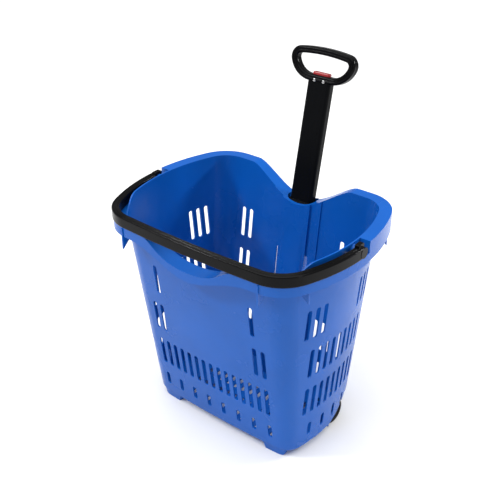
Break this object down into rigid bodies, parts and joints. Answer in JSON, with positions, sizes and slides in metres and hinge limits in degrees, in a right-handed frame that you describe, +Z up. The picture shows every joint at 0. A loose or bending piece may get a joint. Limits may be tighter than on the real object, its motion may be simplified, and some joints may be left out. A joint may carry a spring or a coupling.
{
  "type": "rolling shopping basket",
  "caption": "Perforated plastic shopping basket that rolls on rear wheels, with a swinging carrying bail and a telescopic pull handle leaning back from its rear wall.",
  "frame": {"origin": "on the floor, under the centre of the whole object's bounding box with the handle as it is at rest", "axes": "+Z up, +X to the basket's right as seen from its front, +Y from the front, where the bail lies, to the back, where the pull handle stands"},
  "size_m": [0.461, 0.3964, 0.6527],
  "materials": {
    "basket_plastic": "smooth blue moulding with a soft gloss",
    "bail_plastic": "black, glossy, with lengthwise grooves on top",
    "tube_black": "black satin anodised tube",
    "moulded_black": "fine-grained black moulding",
    "grip_plastic": "black moulding with lengthwise ridges",
    "button_red": "red moulding",
    "inner_plastic": "dark grey moulding",
    "screw_chrome": "bright plated",
    "bright_steel": "bright drawn",
    "rod_aluminium": "plain drawn",
    "spring_steel": "plain wire",
    "wheel_rubber": "solid black tyre",
    "hub_plastic": "black moulding"
  },
  "bodies": {
    "basket": {"basket_body": "basket_plastic", "outer_tube": "tube_black", "outer_tube_collar": "moulded_black", "outer_tube_plug": "inner_plastic", "outer_tube_screws": "screw_chrome", "wheel_axle_right": "moulded_black", "wheel_axle_left": "moulded_black"},
    "bail": {"carry_bail": "bail_plastic"},
    "middle_section": {"middle_tube": "tube_black", "middle_tube_collar": "moulded_black", "middle_lock_block": "inner_plastic", "middle_pin_spring": "spring_steel"},
    "middle_pin": {"middle_lock_pin": "bright_steel"},
    "inner_section": {"inner_tube": "tube_black", "inner_lock_block": "inner_plastic", "inner_pin_spring": "spring_steel", "grip_front_half": "grip_plastic", "grip_rear_half": "grip_plastic", "grip_screws": "screw_chrome", "button_spring": "spring_steel"},
    "inner_pin": {"inner_lock_pin": "bright_steel"},
    "button": {"release_button": "button_red", "push_rod": "rod_aluminium"},
    "wheel_right": {"wheel_tyre_right": "wheel_rubber", "wheel_hub_right": "hub_plastic"},
    "wheel_left": {"wheel_tyre_left": "wheel_rubber", "wheel_hub_left": "hub_plastic"}
  },
  "joints": [
    {"name": "bail_swing", "type": "hinge", "parent": "basket", "child": "bail", "pos_m": [0, -0.02735, 0.4163], "axis": [-1, 0, 0], "range_deg": [0, 120]},
    {"name": "middle_slide", "type": "slide", "parent": "basket", "child": "middle_section", "axis": [0, 0.2045, 0.9789], "range_m": [0, 0.25]},
    {"name": "inner_slide", "type": "slide", "parent": "middle_section", "child": "inner_section", "axis": [0, 0.2045, 0.9789], "range_m": [-0.20465, 0.06]},
    {"name": "button_press", "type": "slide", "parent": "inner_section", "child": "button", "axis": [0, -0.2045, -0.9789], "range_m": [0, 0.003], "stiffness_N_per_m": 1000, "springref_m": -0.002, "deforming": ["button_spring"]},
    {"name": "inner_pin_slide", "type": "slide", "parent": "inner_section", "child": "inner_pin", "axis": [0, 0.9789, -0.2045], "range_m": [0, 0.0018], "deforming": ["inner_pin_spring"]},
    {"name": "middle_pin_slide", "type": "slide", "parent": "middle_section", "child": "middle_pin", "axis": [0, 0.9789, -0.2045], "range_m": [0, 0.0018], "deforming": ["middle_pin_spring"]},
    {"name": "wheel_spin_right", "type": "hinge", "parent": "basket", "child": "wheel_right", "pos_m": [0.1536, 0.02165, 0.0248], "axis": [1, 0, 0], "continuous": true},
    {"name": "wheel_spin_left", "type": "hinge", "parent": "basket", "child": "wheel_left", "pos_m": [-0.1536, 0.02165, 0.0248], "axis": [1, 0, 0], "continuous": true}
  ]
}
